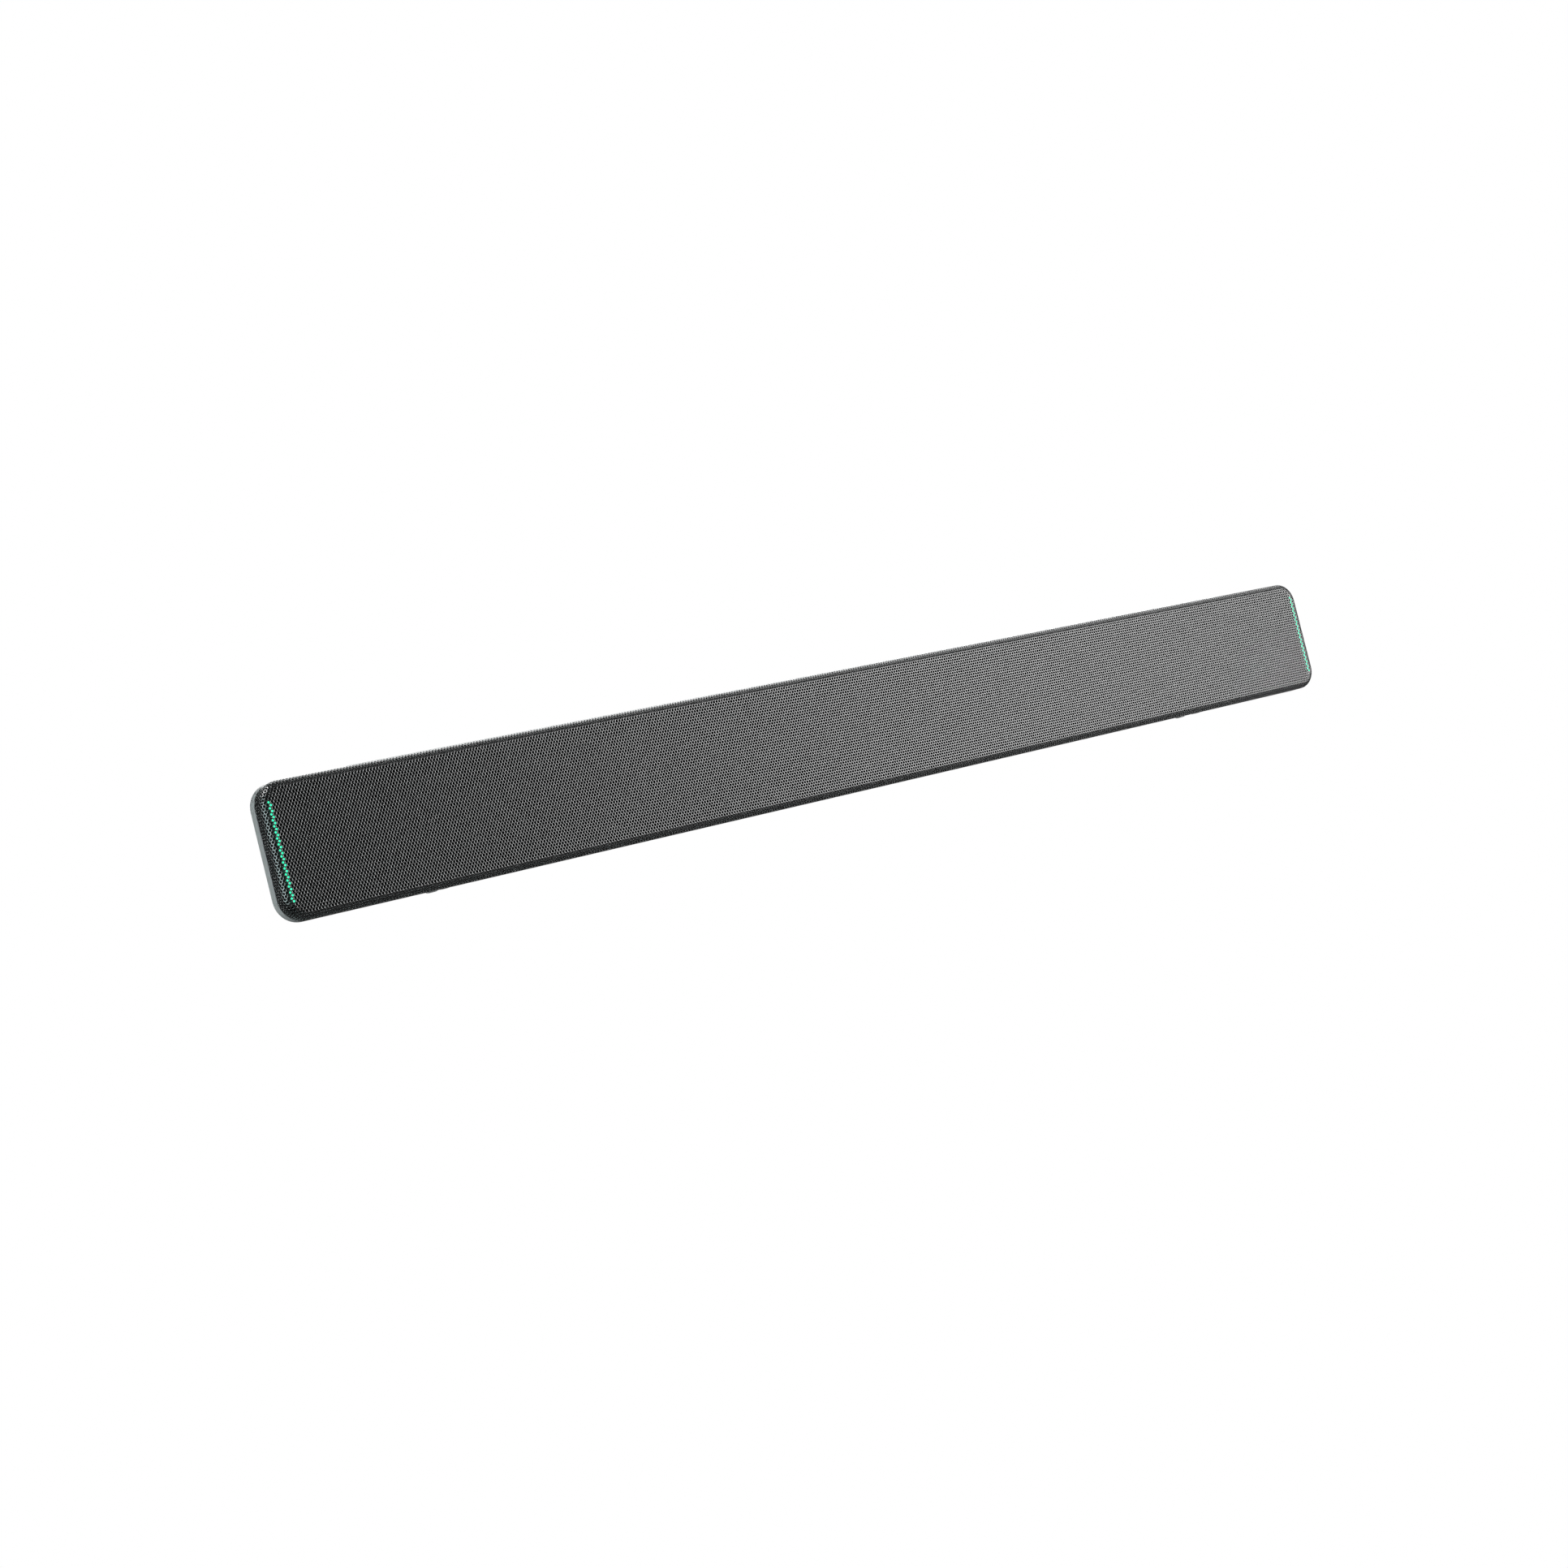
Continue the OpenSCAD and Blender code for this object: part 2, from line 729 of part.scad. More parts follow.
module button(i) {
    under = rear_top - wall - 0.1;
    flange_h = 1.5;
    color("#2c2d2f") {
        at(button_x[i], button_depth, under - flange_h) {
            cylinder(r = button_r + 1.5, h = flange_h);
            cylinder(r = button_r, h = rear_top + button_proud - under + flange_h);
        }
        at(button_x[i], button_depth, button_board_top + switch_h - 0.6)
            cylinder(r = stem_r, h = under - flange_h - button_board_top - switch_h + 0.6);
    }
}

module power_button() { button(0); }
module source_button() { button(1); }
module volume_down_button() { button(2); }
module volume_up_button() { button(3); }

// ---------- screws ----------

module rear_screws() {
    color("#5f6265") for (x = rear_screw_x, up = [-1, 1])
        screw_forward(x, rear_mid + up * rear_screw_dz, body_d - 1.4, 3.6, 1.2, 18, screw_r);
}

module end_screws() {
    color("#5f6265") for (side = [-1, 1], up = [-1, 1])
        screw_forward(side * end_screw_x, face_mid + up * end_screw_dz, band_end, 3.4, 1.4, 7, screw_r);
}

module board_screws() {
    head_r = 2.4;
    head_h = 1.3;
    shank = 7;
    color("#9a9da0") {
        for (side = [-1, 1], up = [-1, 1]) {
            screw_forward(side * main_post_x, face_mid + up * (board_h / 2 - 6),
                main_front + board_t, head_r, head_h, shank, pilot_r - 0.05);
            mount_screw(side * (port_board_w / 2 - 4), port_mid + up * (port_board_h / 2 - 4));
            for (x = [side_board_x0 + 4, side_board_x1 - 4])
                mount_screw(side * x, face_mid + up * (board_h / 2 - 4));
        }
        for (side = [-1, 1]) at(side * 56, button_depth, button_board_top - board_t) {
            translate([0, 0, -head_h]) cylinder(r = head_r, h = head_h);
            cylinder(r = pilot_r - 0.05, h = shank);
        }
    }

    // Holds a rear board from its front side
    module mount_screw(x, z) {
        rod(x, z, head_r, rear_board_front - head_h, rear_board_front);
        rod(x, z, pilot_r - 0.05, rear_board_front, rear_board_front + shank);
    }
}

front_grille();
acoustic_cloth();
grille_frame();
front_baffle();
rear_housing();
light_guide(-1);  // led_light_guide_left
light_guide(1);  // led_light_guide_right
led_board(-1);  // led_board_left
led_board(1);  // led_board_right
led_cables();
driver_basket(1);  // driver_basket_1
driver_basket(2);  // driver_basket_2
driver_basket(3);  // driver_basket_3
driver_basket(4);  // driver_basket_4
driver_surround(1);  // driver_surround_1
driver_surround(2);  // driver_surround_2
driver_surround(3);  // driver_surround_3
driver_surround(4);  // driver_surround_4
driver_cone(1);  // driver_cone_1
driver_cone(2);  // driver_cone_2
driver_cone(3);  // driver_cone_3
driver_cone(4);  // driver_cone_4
voice_coil(1);  // voice_coil_1
voice_coil(2);  // voice_coil_2
voice_coil(3);  // voice_coil_3
voice_coil(4);  // voice_coil_4
driver_magnet(1);  // driver_magnet_1
driver_magnet(2);  // driver_magnet_2
driver_magnet(3);  // driver_magnet_3
driver_magnet(4);  // driver_magnet_4
driver_spiders();
driver_gaskets();
driver_screws();
speaker_box(-1);  // speaker_box_left
speaker_box(1);  // speaker_box_right
main_board();
amplifier_board();
heat_sink();
power_board();
port_board();
port_panel();
dc_socket();
ethernet_socket();
hdmi_socket();
usb_socket();
audio_socket();
button_board();
button_switches();
power_button();
source_button();
volume_down_button();
volume_up_button();
ribbon_cables();
speaker_leads();
wall_inserts();
rubber_feet();
rear_screws();
end_screws();
board_screws();
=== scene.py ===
"""Looks of a conference soundbar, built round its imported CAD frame.

X runs along the bar, the front faces -Y, Z points up, and every length is in metres.
"""

import json
import math

import bmesh
import bpy
import numpy as np
from mathutils import Matrix, Vector


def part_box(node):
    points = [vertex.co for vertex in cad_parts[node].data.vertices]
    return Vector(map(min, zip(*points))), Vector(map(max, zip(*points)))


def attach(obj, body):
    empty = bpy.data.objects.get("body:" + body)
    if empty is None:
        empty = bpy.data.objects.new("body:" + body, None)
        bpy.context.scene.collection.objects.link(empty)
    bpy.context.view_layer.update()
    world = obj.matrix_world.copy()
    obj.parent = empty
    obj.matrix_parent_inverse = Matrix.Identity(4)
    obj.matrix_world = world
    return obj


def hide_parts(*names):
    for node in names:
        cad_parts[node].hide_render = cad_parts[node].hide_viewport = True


MM = 0.001

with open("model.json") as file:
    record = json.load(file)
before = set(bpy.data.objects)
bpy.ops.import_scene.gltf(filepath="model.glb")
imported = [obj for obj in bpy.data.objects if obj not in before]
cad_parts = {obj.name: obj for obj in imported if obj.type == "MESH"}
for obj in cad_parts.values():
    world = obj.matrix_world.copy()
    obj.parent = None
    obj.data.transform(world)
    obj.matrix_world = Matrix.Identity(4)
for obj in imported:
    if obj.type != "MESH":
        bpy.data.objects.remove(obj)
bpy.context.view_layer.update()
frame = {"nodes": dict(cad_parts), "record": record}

# ---------- sizes that the CAD source also names ----------

EDGE_R = 6 * MM
CORNER_R = 18 * MM
SHEET_T = 0.8 * MM
LED_COUNT = 12
REAR_SCREW_X = [-0.4585, -0.125, 0.125, 0.4585]
REAR_SCREW_DZ = 33 * MM
END_SCREW_INSET = 23.5 * MM
END_SCREW_DZ = 25 * MM
RISE = 1.5 * MM
FOOT_X = 0.4
FOOT_DEPTHS = [29 * MM, 50 * MM]
FOOT_R = 5 * MM

GRILLE_LOW, GRILLE_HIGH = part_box("front_grille")
FRONT_Y = GRILLE_LOW.y
FACE_MID = (GRILLE_LOW.z + GRILLE_HIGH.z) / 2
BACK_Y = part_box("rear_housing")[1].y
REAR_MID = FACE_MID + RISE

# Perforation: round holes in staggered rows
HOLE_PITCH = 2.5 * MM
HOLE_R = 0.92 * MM
ROW_PITCH = HOLE_PITCH * math.sqrt(3) / 2
PLAIN_RIM = 1.4 * MM
HOLE_LIP = 0.14 * MM
CELL_POINTS = 18

# Each light line shows through one hole a row: its x in the even rows, then in the odd rows
LEFT_LIGHT_X = (-213 * HOLE_PITCH, -212.5 * HOLE_PITCH)
RIGHT_LIGHT_X = (212 * HOLE_PITCH, 212.5 * HOLE_PITCH)
PEG_R = 0.86 * MM
PEG_INSET = 0.25 * MM
PEG_ROOT = 0.2 * MM
PEG_GLOW = 1.1

# Screw heads stand in round seats in the housing
SEAT_DEPTH = 1.4 * MM
SCREW_SHANK_R = 1.45 * MM

# Printed signs on the buttons
ICON_LINE_W = 0.5 * MM
ICON_LINE_H = 0.05 * MM
ICON_SUNK = 0.05 * MM

# Studio. The camera stands as in the photo, and its axes are unit vectors
FLOOR_HALF_WIDTH = 12
FLOOR_LEVEL = -0.45
FLOOR_SHADE = 0.2
ROOM_GLOW = 0.05
LENS = 56.3187
CAMERA_AT = (-1.24525, -1.64162, -0.04153)
CAMERA_RIGHT = (0.79236, -0.56010, -0.24177)
CAMERA_UP = (0.17894, -0.16549, 0.96984)


# ---------- node helpers ----------


def add(tree, kind, inputs=None, **settings):
    """Adds a node; an input is a value or the socket that drives it."""
    node = tree.nodes.new(kind)
    for key, value in settings.items():
        setattr(node, key, value)
    for key, value in (inputs or {}).items():
        if isinstance(value, bpy.types.NodeSocket):
            tree.links.new(value, node.inputs[key])
        else:
            node.inputs[key].default_value = value
    return node


def material(name, **values):
    """A Principled material with fixed values on the shader's own sockets."""
    made = bpy.data.materials.new(name)
    made.use_nodes = True
    shader = made.node_tree.nodes["Principled BSDF"]
    for key, value in values.items():
        shader.inputs[key.replace("_", " ")].default_value = value
    return made, made.node_tree, shader


def place(tree):
    return add(tree, "ShaderNodeTexCoord").outputs["Object"]


def noise(tree, where, scale, detail=3):
    inputs = {"Vector": where, "Scale": scale, "Detail": detail, "Roughness": 0.55}
    return add(tree, "ShaderNodeTexNoise", inputs).outputs["Fac"]


def remap(tree, value, low, high, start=0.3, end=0.7):
    node = add(
        tree,
        "ShaderNodeMapRange",
        {"Value": value, "From Min": start, "From Max": end, "To Min": low, "To Max": high},
    )
    return node.outputs["Result"]


def math_node(tree, operation, a, b=0.0):
    return add(tree, "ShaderNodeMath", {0: a, 1: b}, operation=operation).outputs[0]


def tint(tree, value, dark, light, low=0.3, high=0.7):
    """A colour between dark and light as value runs from low to high."""
    ramp = add(tree, "ShaderNodeValToRGB", {"Fac": value})
    ramp.color_ramp.elements[0].position = low
    ramp.color_ramp.elements[0].color = (*dark, 1)
    ramp.color_ramp.elements[1].position = high
    ramp.color_ramp.elements[1].color = (*light, 1)
    return ramp.outputs["Color"]


def shade(colour, factor):
    return tuple(min(1.0, c * factor) for c in colour)


def bump(tree, shader, height, distance, strength=1.0):
    node = add(
        tree, "ShaderNodeBump", {"Height": height, "Strength": strength, "Distance": distance}
    )
    tree.links.new(node.outputs["Normal"], shader.inputs["Normal"])


def grained(name, colour, roughness, spread=0.12, grain=1400, depth=0.02 * MM, **values):
    """A surface with broad colour drift, uneven gloss and a fine moulded or cast grain."""
    made, tree, shader = material(name, **values)
    where = place(tree)
    broad = noise(tree, where, 18, 4)
    fine = noise(tree, where, grain, 2)
    broad_part = math_node(tree, "MULTIPLY", broad, 0.6)
    fine_part = math_node(tree, "MULTIPLY", fine, 0.4)
    mixed = math_node(tree, "ADD", broad_part, fine_part)
    colours = tint(tree, mixed, shade(colour, 1 - spread), shade(colour, 1 + spread))
    tree.links.new(colours, shader.inputs["Base Color"])
    gloss = remap(tree, mixed, roughness * 0.88, min(1.0, roughness * 1.12))
    tree.links.new(gloss, shader.inputs["Roughness"])
    bump(tree, shader, fine, depth)
    return made


# ---------- materials ----------


def grille_paint():
    """Satin black powder coat: fine orange peel, slightly uneven gloss."""
    made, tree, shader = material("grille_paint", Specular_IOR_Level=0.5)
    where = place(tree)
    peel = noise(tree, where, 2600, 3)
    broad = noise(tree, where, 9, 3)
    colours = tint(tree, broad, (0.005, 0.0053, 0.0055), (0.009, 0.0093, 0.0096))
    tree.links.new(colours, shader.inputs["Base Color"])
    tree.links.new(remap(tree, peel, 0.20, 0.27), shader.inputs["Roughness"])
    bump(tree, shader, peel, 0.006 * MM)
    return made


def woven(name, dark, light, thread):
    """Plain weave: threads along X and Z that pass over and under each other."""
    made, tree, shader = material(name, Roughness=0.95, Specular_IOR_Level=0.1)
    coords = place(tree)
    axes = add(tree, "ShaderNodeSeparateXYZ", {"Vector": coords}).outputs
    turns = 2 * math.pi / thread
    across = math_node(tree, "SINE", math_node(tree, "MULTIPLY", axes["X"], turns))
    up = math_node(tree, "SINE", math_node(tree, "MULTIPLY", axes["Z"], turns))
    weave = math_node(tree, "MULTIPLY", across, up)
    fuzz = math_node(tree, "MULTIPLY", noise(tree, coords, 3000, 3), 0.5)
    height = math_node(tree, "ADD", math_node(tree, "MULTIPLY", weave, 0.5), fuzz)
    tree.links.new(tint(tree, height, dark, light, 0.0, 0.7), shader.inputs["Base Color"])
    bump(tree, shader, height, thread * 0.3)
    return made


def lit_guide():
    """Green light pipe whose pegs glow, the glow shifting a little from diode to diode."""
    made, tree, shader = material(
        "lit_guide",
        Base_Color=(0.02, 0.2, 0.13, 1),
        Roughness=0.6,
        Specular_IOR_Level=0.1,
        Emission_Strength=PEG_GLOW,
    )
    coords = place(tree)
    axes = add(tree, "ShaderNodeSeparateXYZ", {"Vector": coords}).outputs
    low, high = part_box("led_light_guide_left")
    turns = 2 * math.pi * LED_COUNT / (high.z - low.z)
    height = math_node(tree, "SUBTRACT", axes["Z"], FACE_MID)
    wave = math_node(tree, "COSINE", math_node(tree, "MULTIPLY", height, turns))
    mottle = noise(tree, coords, 400, 2)
    level = math_node(tree, "ADD", math_node(tree, "MULTIPLY", wave, -0.12), mottle)
    glow = tint(tree, level, (0.012, 0.82, 0.38), (0.03, 1.0, 0.52), 0.3, 0.75)
    # Only the pegs glow: the pipe behind them stays unlit, so that it shows in no other hole
    peg = remap(tree, axes["Y"], 1.0, 0.0, low.y - 0.1 * MM, low.y)
    lit = add(tree, "ShaderNodeMix", {0: peg, 6: (0, 0, 0, 1), 7: glow}, data_type="RGBA")
    tree.links.new(lit.outputs[2], shader.inputs["Emission Color"])
    return made


def circuit_board():
    """Green solder mask with faint tracks under it."""
    made, tree, shader = material("circuit_board_mask", Specular_IOR_Level=0.55)
    where = place(tree)
    tracks = add(
        tree,
        "ShaderNodeTexBrick",
        {
            "Vector": where,
            "Scale": 120.0,
            "Mortar Size": 0.03,
            "Color1": (0.012, 0.12, 0.05, 1),
            "Color2": (0.009, 0.085, 0.036, 1),
            "Mortar": (0.03, 0.2, 0.08, 1),
        },
    )
    speck = noise(tree, where, 900, 3)
    mixed = add(tree, "ShaderNodeMix", {0: speck}, data_type="RGBA")
    tree.links.new(tracks.outputs["Color"], mixed.inputs["A"])
    mixed.inputs["B"].default_value = (0.01, 0.1, 0.042, 1)
    tree.links.new(mixed.outputs["Result"], shader.inputs["Base Color"])
    tree.links.new(remap(tree, speck, 0.25, 0.45), shader.inputs["Roughness"])
    bump(tree, shader, tracks.outputs["Fac"], 0.03 * MM, 0.4)
    return made


def ringed(name, colour, roughness, pitch, axis="Y", **values):
    """Fine grooves along one axis, such as windings, turning marks or cable conductors."""
    made, tree, shader = material(name, **values)
    coords = place(tree)
    along = add(tree, "ShaderNodeSeparateXYZ", {"Vector": coords}).outputs[axis]
    wave = math_node(tree, "SINE", math_node(tree, "MULTIPLY", along, 2 * math.pi / pitch))
    speck = noise(tree, coords, 700, 3)
    level = math_node(tree, "ADD", math_node(tree, "MULTIPLY", wave, 0.25), speck)
    colours = tint(tree, level, shade(colour, 0.72), shade(colour, 1.12), 0.2, 0.8)
    tree.links.new(colours, shader.inputs["Base Color"])
    gloss = remap(tree, speck, roughness * 0.85, roughness * 1.15)
    tree.links.new(gloss, shader.inputs["Roughness"])
    bump(tree, shader, wave, pitch * 0.15, 0.6)
    return made


MATERIALS = {
    "grille_metal": grille_paint(),
    "cloth": woven("acoustic_weave", (0.0008, 0.0008, 0.0009), (0.003, 0.003, 0.0032), 0.5 * MM),
    "black_plastic": grained("black_moulding", (0.016, 0.016, 0.017), 0.5),
    "housing_grey": grained(
        "housing_moulding", (0.40, 0.41, 0.41), 0.42, spread=0.04, grain=2200, depth=0.012 * MM
    ),
    "light_guide": lit_guide(),
    "circuit_board": circuit_board(),
    "flat_cable": ringed("flat_cable_film", (0.66, 0.63, 0.54), 0.35, 1.0 * MM, "Z"),
    "spider_cloth": woven("spider_weave", (0.30, 0.19, 0.06), (0.52, 0.37, 0.15), 0.6 * MM),
    "rubber_black": grained(
        "black_rubber", (0.014, 0.014, 0.015), 0.78, grain=1800, depth=0.03 * MM
    ),
    "silicone_clear": grained(
        "clear_silicone",
        (0.72, 0.74, 0.74),
        0.3,
        spread=0.03,
        grain=900,
        depth=0.01 * MM,
        Transmission_Weight=0.4,
    ),
    "screw_steel": grained(
        "zinc_steel", (0.34, 0.35, 0.37), 0.3, grain=900, depth=0.01 * MM, Metallic=1.0
    ),
    "bare_aluminium": ringed(
        "extruded_aluminium", (0.68, 0.69, 0.7), 0.32, 0.25 * MM, "X", Metallic=1.0
    ),
    "socket_plastic": grained("connector_plastic", (0.012, 0.012, 0.013), 0.38, grain=1600),
    "socket_metal": grained(
        "nickel_shell", (0.56, 0.55, 0.52), 0.26, grain=500, depth=0.008 * MM, Metallic=1.0
    ),
    "button_plastic": grained("button_moulding", (0.028, 0.029, 0.031), 0.55, grain=2000),
    "lead_red": grained("lead_insulation", (0.33, 0.03, 0.02), 0.45, grain=600),
    "insert_brass": ringed("turned_brass", (0.62, 0.43, 0.16), 0.28, 0.8 * MM, Metallic=1.0),
    "basket_metal": grained("basket_coat", (0.026, 0.027, 0.029), 0.45, grain=800),
    "cone_paper": grained(
        "doped_paper", (0.03, 0.03, 0.032), 0.7, spread=0.3, grain=700, depth=0.08 * MM
    ),
    "coil_copper": ringed("copper_winding", (0.6, 0.24, 0.1), 0.3, 0.3 * MM, Metallic=1.0),
    "magnet_steel": grained(
        "ferrite", (0.045, 0.045, 0.047), 0.5, spread=0.25, grain=1000, depth=0.04 * MM
    ),
}
ICON_PAINT = grained("icon_print", (0.55, 0.56, 0.57), 0.5, spread=0.06)


# ---------- mesh helpers ----------


def finish_piece(piece, slot, body, paint=None, sharp=35):
    """Smooth-shades a piece, gives it its material, and lets it ride on a CAD body."""
    piece.data.shade_smooth()
    piece.data.set_sharp_from_angle(angle=math.radians(sharp))
    piece.data.materials.clear()
    piece.data.materials.append(paint or MATERIALS[slot])
    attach(piece, body)
    return piece


def link_mesh(name, mesh):
    piece = bpy.data.objects.new(name, mesh)
    bpy.context.scene.collection.objects.link(piece)
    return piece


def mesh_from_arrays(name, points, triangles, quads):
    """A mesh object straight from arrays, for surfaces with very many faces."""
    mesh = bpy.data.meshes.new(name)
    corners = np.concatenate([triangles.ravel(), quads.ravel()]).astype(np.int32)
    starts = np.concatenate(
        [
            np.arange(len(triangles)) * 3,
            len(triangles) * 3 + np.arange(len(quads)) * 4,
        ]
    ).astype(np.int32)
    mesh.vertices.add(len(points))
    mesh.vertices.foreach_set("co", points.astype(np.float32).ravel())
    mesh.loops.add(len(corners))
    mesh.loops.foreach_set("vertex_index", corners)
    mesh.polygons.add(len(starts))
    mesh.polygons.foreach_set("loop_start", starts)
    mesh.update(calc_edges=True)
    return link_mesh(name, mesh)


def add_rings(bm, rings, matrix):
    """Joins closed rings of points into a solid. Each ring is (radii, height)."""
    made = []
    for radii, height in rings:
        count = len(radii)
        angles = [2 * math.pi * k / count for k in range(count)]
        made.append(
            [
                bm.verts.new(matrix @ Vector((r * math.cos(a), r * math.sin(a), height)))
                for r, a in zip(radii, angles)
            ]
        )
    for low, high in zip(made, made[1:]):
        count = len(low)
        for k in range(count):
            bm.faces.new([low[k], low[(k + 1) % count], high[(k + 1) % count], high[k]])
    bm.faces.new(list(reversed(made[0])))
    bm.faces.new(made[-1])


def circle(radius, count=48):
    return [radius] * count


def star(radius, depth, count=48):
    """Radii of a six-lobed driver recess."""
    lobes = 6
    waves = [math.cos(lobes * 2 * math.pi * k / count) for k in range(count)]
    return [radius - depth + depth * wave for wave in waves]


def ring_piece(name, stacks, slot, body):
    """One piece from several ring stacks, each (rings, matrix)."""
    bm = bmesh.new()
    for rings, matrix in stacks:
        add_rings(bm, rings, matrix)
    bmesh.ops.recalc_face_normals(bm, faces=bm.faces)
    mesh = bpy.data.meshes.new(name)
    bm.to_mesh(mesh)
    bm.free()
    return finish_piece(link_mesh(name, mesh), slot, body)


# Turns +Z of a ring stack to point out of the back of the bar
TO_BACK = Matrix.Rotation(math.radians(-90), 4, "X")


# ---------- perforated grille ----------


def roll_over(flat, inset):
    """Bends flat sheet points over the rolled edge.

    inset is the depth under the outer face. The second result is how far each point lies
    past the end of the sheet, less than zero on the sheet.
    """
    half = np.array([GRILLE_HIGH.x - EDGE_R, (GRILLE_HIGH.z - GRILLE_LOW.z) / 2 - EDGE_R])
    bend_corner = CORNER_R - EDGE_R
    over = np.abs(flat) - (half - bend_corner)
    outside = np.maximum(over, 0)
    length = np.linalg.norm(outside, axis=1)
    along_x = over[:, 0] >= over[:, 1]
    side = np.where(along_x[:, None], [1.0, 0.0], [0.0, 1.0])
    in_corner = (over > 0).all(1)
    radial = outside / np.maximum(length, 1e-9)[:, None]
    normal = np.where(in_corner[:, None], radial, side)
    normal = normal * np.sign(flat)
    beyond = length + np.minimum(over.max(1), 0) - bend_corner
    reach = sheet_reach()
    past = np.clip(beyond, 0, reach)
    turn = np.minimum(past / EDGE_R, math.pi / 2)
    base = flat - normal * np.maximum(beyond, 0)[:, None]
    spot = base + normal * ((EDGE_R - inset) * np.sin(turn))[:, None]
    depth = EDGE_R - (EDGE_R - inset) * np.cos(turn) + np.maximum(past - EDGE_R * math.pi / 2, 0)
    points = np.stack([spot[:, 0], FRONT_Y + depth, FACE_MID + spot[:, 1]], 1)
    return points, beyond - reach


def sheet_reach():
    """Length of sheet past the flat face: the quarter turn and the straight skirt."""
    skirt = GRILLE_HIGH.y - GRILLE_LOW.y - EDGE_R
    return EDGE_R * math.pi / 2 + skirt


def lattice(reach):
    """Centres of the staggered lattice on the flat sheet, and how far each lies past its end."""
    columns = math.ceil((GRILLE_HIGH.x + reach) / HOLE_PITCH)
    rows = math.ceil((FACE_MID + reach) / ROW_PITCH)
    column, row = np.meshgrid(np.arange(-columns, columns + 1), np.arange(-rows, rows + 1))
    across = (column + 0.5 * (row % 2)) * HOLE_PITCH
    up = (row + 0.5) * ROW_PITCH
    centre = np.stack([across, up], -1).reshape(-1, 2)
    _, margin = roll_over(centre, 0)
    near = margin < HOLE_PITCH
    return centre[near], margin[near]


def cell_triangles(open_cells):
    """Triangles of all cells. A cell has six corners, then twelve points round its hole."""
    side = np.arange(6)
    after = (side + 1) % 6
    holed = np.concatenate(
        [
            np.stack([side, after, 7 + 2 * side], 1),
            np.stack([side, 7 + 2 * side, 6 + 2 * side], 1),
            np.stack([after, 6 + 2 * after, 7 + 2 * side], 1),
        ]
    )
    solid = np.array([[0, k, k + 1] for k in range(1, 5)])
    start = np.arange(len(open_cells))[:, None, None] * CELL_POINTS
    return np.concatenate(
        [
            (start[open_cells] + holed[None]).reshape(-1, 3),
            (start[~open_cells] + solid[None]).reshape(-1, 3),
        ]
    )


def cell_points(centre, radius):
    """The corners of every cell and the points round its hole, the even ones facing a corner."""
    corner_angle = np.radians(30 + 60 * np.arange(6))
    hole_angle = np.radians(30 + 30 * np.arange(12))
    corner_reach = HOLE_PITCH / math.sqrt(3)
    corners = corner_reach * np.stack([np.cos(corner_angle), np.sin(corner_angle)], 1)
    ring = np.stack([np.cos(hole_angle), np.sin(hole_angle)], 1)
    cell = np.concatenate([corners, radius * ring])
    return (centre[:, None, :] + cell[None]).reshape(-1, 2)


def merged(layers, triangles):
    """Makes corners that neighbouring cells share one point, in every layer of the sheet."""
    micron = np.round(layers[0] * 1e6).astype(np.int64)
    _, first, same = np.unique(micron, axis=0, return_index=True, return_inverse=True)
    triangles = same.reshape(-1)[triangles]
    whole = (
        (triangles[:, 0] != triangles[:, 1])
        & (triangles[:, 1] != triangles[:, 2])
        & (triangles[:, 2] != triangles[:, 0])
    )
    triangles = triangles[whole]
    used, triangles = np.unique(triangles, return_inverse=True)
    return [layer[first][used] for layer in layers], triangles.reshape(-1, 3)


def open_edges(triangles, count):
    """Edges that only one triangle has: the sheet's end and the rims of the holes."""
    edges = np.concatenate([triangles[:, [0, 1]], triangles[:, [1, 2]], triangles[:, [2, 0]]])
    keys = edges[:, 0].astype(np.int64) * count + edges[:, 1]
    opposite = edges[:, 1].astype(np.int64) * count + edges[:, 0]
    return edges[~np.isin(keys, opposite)]


def perforated_sheet():
    """The grille as one closed sheet with a real hole in each cell of a staggered lattice."""
    centre, margin = lattice(sheet_reach())
    triangles = cell_triangles(margin < -PLAIN_RIM)

    # Each hole's front edge is rounded off from the outer face down to the lip
    outer, margin = roll_over(cell_points(centre, HOLE_R + HOLE_LIP), 0)
    lip, _ = roll_over(cell_points(centre, HOLE_R), HOLE_LIP)
    inner, _ = roll_over(cell_points(centre, HOLE_R), SHEET_T)
    on_sheet = (margin[triangles] < -1e-7).any(1)
    (outer, lip, inner), triangles = merged([outer, lip, inner], triangles[on_sheet])

    # Walls join the outer face, the lip and the inner face along each open edge
    count = len(outer)
    rim = open_edges(triangles, count)
    rim_points, on_rim = np.unique(rim, return_inverse=True)
    on_lip = on_rim.reshape(-1, 2) + 2 * count
    walls = np.concatenate(
        [
            np.stack([a[:, 1], a[:, 0], b[:, 0], b[:, 1]], 1)
            for a, b in ((rim, on_lip), (on_lip, rim + count))
        ]
    )
    both = np.concatenate([triangles, triangles[:, ::-1] + count])
    points = np.concatenate([outer, inner, lip[rim_points]])
    return mesh_from_arrays("perforated_grille", points, both, walls)


grille = finish_piece(perforated_sheet(), "grille_metal", "bar", sharp=60)
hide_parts("front_grille")


# ---------- acoustic cloth ----------


